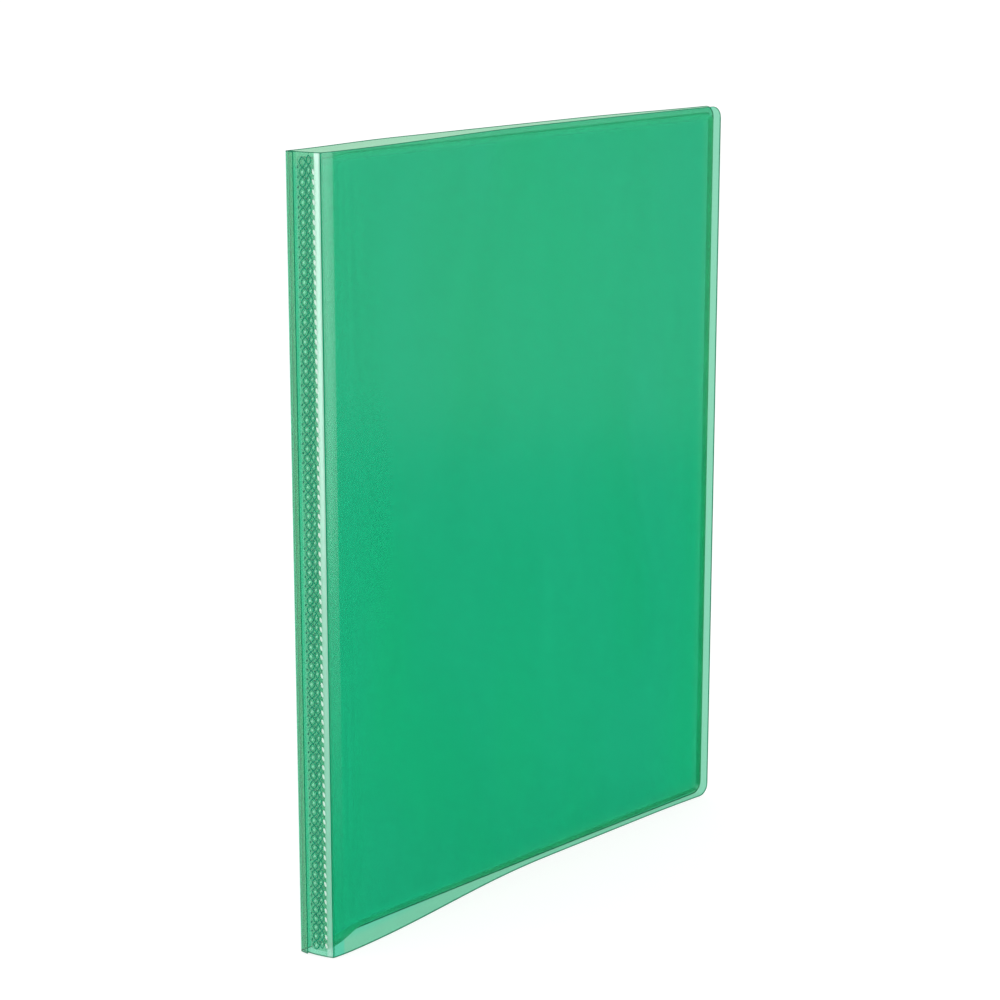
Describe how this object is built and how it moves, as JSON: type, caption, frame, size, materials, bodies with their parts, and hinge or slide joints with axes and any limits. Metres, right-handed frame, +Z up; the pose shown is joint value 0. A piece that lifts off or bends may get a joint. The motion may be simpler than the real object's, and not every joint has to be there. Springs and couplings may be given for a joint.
{
  "type": "display album",
  "caption": "Upright A4 album with translucent green plastic covers, a narrow folded spine and clear film pockets welded to a strip inside it.",
  "frame": {"origin": "centre of the footprint, on the surface that the album stands on", "axes": "+Z up along the spine, +X from the spine to the fore-edge, -Y out of the front cover"},
  "size_m": [0.24, 0.0166, 0.31],
  "materials": {
    "cover_sheet": "translucent green sheet, satin",
    "spine_sheet": "translucent green sheet, satin",
    "crease": "translucent green, pressed crease",
    "weld": "embossed weld in clear film",
    "pocket_film": "thin clear film, slightly milky"
  },
  "bodies": {
    "spine": {"spine_panel": "spine_sheet", "spine_flap": "spine_sheet", "flap_seam": "weld", "front_crease": "crease", "back_crease": "crease", "weld_strip": "weld"},
    "front_cover": {"front_cover": "cover_sheet"},
    "back_cover": {"back_cover": "cover_sheet"},
    "pocket_01": {"pocket_01": "pocket_film"},
    "pocket_02": {"pocket_02": "pocket_film"},
    "pocket_03": {"pocket_03": "pocket_film"},
    "pocket_04": {"pocket_04": "pocket_film"},
    "pocket_05": {"pocket_05": "pocket_film"},
    "pocket_06": {"pocket_06": "pocket_film"},
    "pocket_07": {"pocket_07": "pocket_film"},
    "pocket_08": {"pocket_08": "pocket_film"},
    "pocket_09": {"pocket_09": "pocket_film"},
    "pocket_10": {"pocket_10": "pocket_film"},
    "pocket_11": {"pocket_11": "pocket_film"},
    "pocket_12": {"pocket_12": "pocket_film"},
    "pocket_13": {"pocket_13": "pocket_film"},
    "pocket_14": {"pocket_14": "pocket_film"},
    "pocket_15": {"pocket_15": "pocket_film"},
    "pocket_16": {"pocket_16": "pocket_film"},
    "pocket_17": {"pocket_17": "pocket_film"},
    "pocket_18": {"pocket_18": "pocket_film"},
    "pocket_19": {"pocket_19": "pocket_film"},
    "pocket_20": {"pocket_20": "pocket_film"}
  },
  "joints": [
    {"name": "front_cover_hinge", "type": "hinge", "parent": "spine", "child": "front_cover", "pos_m": [-0.11535, -0.00756, 0], "axis": [0, 0, -1], "range_deg": [0, 180]},
    {"name": "back_cover_hinge", "type": "hinge", "parent": "spine", "child": "back_cover", "pos_m": [-0.11975, 0.00604, 0], "axis": [0, 0, 1], "range_deg": [0, 180]},
    {"name": "pocket_01_hinge", "type": "hinge", "parent": "spine", "child": "pocket_01", "pos_m": [-0.11563, 0.00136, 0], "axis": [0, 0, 1], "range_deg": [0, 80.1]},
    {"name": "pocket_02_hinge", "type": "hinge", "parent": "spine", "child": "pocket_02", "pos_m": [-0.11539, 0.00111, 0], "axis": [0, 0, 1], "range_deg": [0, 71.68]},
    {"name": "pocket_03_hinge", "type": "hinge", "parent": "spine", "child": "pocket_03", "pos_m": [-0.11518, 0.00083, 0], "axis": [0, 0, 1], "range_deg": [0, 63.26]},
    {"name": "pocket_04_hinge", "type": "hinge", "parent": "spine", "child": "pocket_04", "pos_m": [-0.11499, 0.00054, 0], "axis": [0, 0, 1], "range_deg": [0, 54.84]},
    {"name": "pocket_05_hinge", "type": "hinge", "parent": "spine", "child": "pocket_05", "pos_m": [-0.11483, 0.00024, 0], "axis": [0, 0, 1], "range_deg": [0, 46.42]},
    {"name": "pocket_06_hinge", "type": "hinge", "parent": "spine", "child": "pocket_06", "pos_m": [-0.11469, -0.00008, 0], "axis": [0, 0, 1], "range_deg": [0, 37.99]},
    {"name": "pocket_07_hinge", "type": "hinge", "parent": "spine", "child": "pocket_07", "pos_m": [-0.11457, -0.00041, 0], "axis": [0, 0, 1], "range_deg": [0, 29.57]},
    {"name": "pocket_08_hinge", "type": "hinge", "parent": "spine", "child": "pocket_08", "pos_m": [-0.11449, -0.00074, 0], "axis": [0, 0, 1], "range_deg": [0, 21.15]},
    {"name": "pocket_09_hinge", "type": "hinge", "parent": "spine", "child": "pocket_09", "pos_m": [-0.11443, -0.00109, 0], "axis": [0, 0, 1], "range_deg": [0, 12.73]},
    {"name": "pocket_10_hinge", "type": "hinge", "parent": "spine", "child": "pocket_10", "pos_m": [-0.1144, -0.00143, 0], "axis": [0, 0, 1], "range_deg": [0, 4.31]},
    {"name": "pocket_11_hinge", "type": "hinge", "parent": "spine", "child": "pocket_11", "pos_m": [-0.1144, -0.00178, 0], "axis": [0, 0, -1], "range_deg": [0, 4.31]},
    {"name": "pocket_12_hinge", "type": "hinge", "parent": "spine", "child": "pocket_12", "pos_m": [-0.11443, -0.00213, 0], "axis": [0, 0, -1], "range_deg": [0, 12.73]},
    {"name": "pocket_13_hinge", "type": "hinge", "parent": "spine", "child": "pocket_13", "pos_m": [-0.11449, -0.00247, 0], "axis": [0, 0, -1], "range_deg": [0, 21.15]},
    {"name": "pocket_14_hinge", "type": "hinge", "parent": "spine", "child": "pocket_14", "pos_m": [-0.11457, -0.0028, 0], "axis": [0, 0, -1], "range_deg": [0, 29.57]},
    {"name": "pocket_15_hinge", "type": "hinge", "parent": "spine", "child": "pocket_15", "pos_m": [-0.11469, -0.00313, 0], "axis": [0, 0, -1], "range_deg": [0, 37.99]},
    {"name": "pocket_16_hinge", "type": "hinge", "parent": "spine", "child": "pocket_16", "pos_m": [-0.11483, -0.00345, 0], "axis": [0, 0, -1], "range_deg": [0, 46.42]},
    {"name": "pocket_17_hinge", "type": "hinge", "parent": "spine", "child": "pocket_17", "pos_m": [-0.11499, -0.00376, 0], "axis": [0, 0, -1], "range_deg": [0, 54.84]},
    {"name": "pocket_18_hinge", "type": "hinge", "parent": "spine", "child": "pocket_18", "pos_m": [-0.11518, -0.00405, 0], "axis": [0, 0, -1], "range_deg": [0, 63.26]},
    {"name": "pocket_19_hinge", "type": "hinge", "parent": "spine", "child": "pocket_19", "pos_m": [-0.11539, -0.00432, 0], "axis": [0, 0, -1], "range_deg": [0, 71.68]},
    {"name": "pocket_20_hinge", "type": "hinge", "parent": "spine", "child": "pocket_20", "pos_m": [-0.11563, -0.00458, 0], "axis": [0, 0, -1], "range_deg": [0, 80.1]}
  ],
  "couplings": [
    {"joint": "pocket_01_hinge", "follows": "back_cover_hinge", "ratio": 0.4444},
    {"joint": "pocket_02_hinge", "follows": "back_cover_hinge", "ratio": 0.3977},
    {"joint": "pocket_03_hinge", "follows": "back_cover_hinge", "ratio": 0.3509},
    {"joint": "pocket_04_hinge", "follows": "back_cover_hinge", "ratio": 0.3041},
    {"joint": "pocket_05_hinge", "follows": "back_cover_hinge", "ratio": 0.2573},
    {"joint": "pocket_06_hinge", "follows": "back_cover_hinge", "ratio": 0.2105},
    {"joint": "pocket_07_hinge", "follows": "back_cover_hinge", "ratio": 0.1637},
    {"joint": "pocket_08_hinge", "follows": "back_cover_hinge", "ratio": 0.117},
    {"joint": "pocket_09_hinge", "follows": "back_cover_hinge", "ratio": 0.0702},
    {"joint": "pocket_10_hinge", "follows": "back_cover_hinge", "ratio": 0.0234},
    {"joint": "pocket_11_hinge", "follows": "front_cover_hinge", "ratio": 0.0234},
    {"joint": "pocket_12_hinge", "follows": "front_cover_hinge", "ratio": 0.0702},
    {"joint": "pocket_13_hinge", "follows": "front_cover_hinge", "ratio": 0.117},
    {"joint": "pocket_14_hinge", "follows": "front_cover_hinge", "ratio": 0.1637},
    {"joint": "pocket_15_hinge", "follows": "front_cover_hinge", "ratio": 0.2105},
    {"joint": "pocket_16_hinge", "follows": "front_cover_hinge", "ratio": 0.2573},
    {"joint": "pocket_17_hinge", "follows": "front_cover_hinge", "ratio": 0.3041},
    {"joint": "pocket_18_hinge", "follows": "front_cover_hinge", "ratio": 0.3509},
    {"joint": "pocket_19_hinge", "follows": "front_cover_hinge", "ratio": 0.3977},
    {"joint": "pocket_20_hinge", "follows": "front_cover_hinge", "ratio": 0.4444}
  ]
}
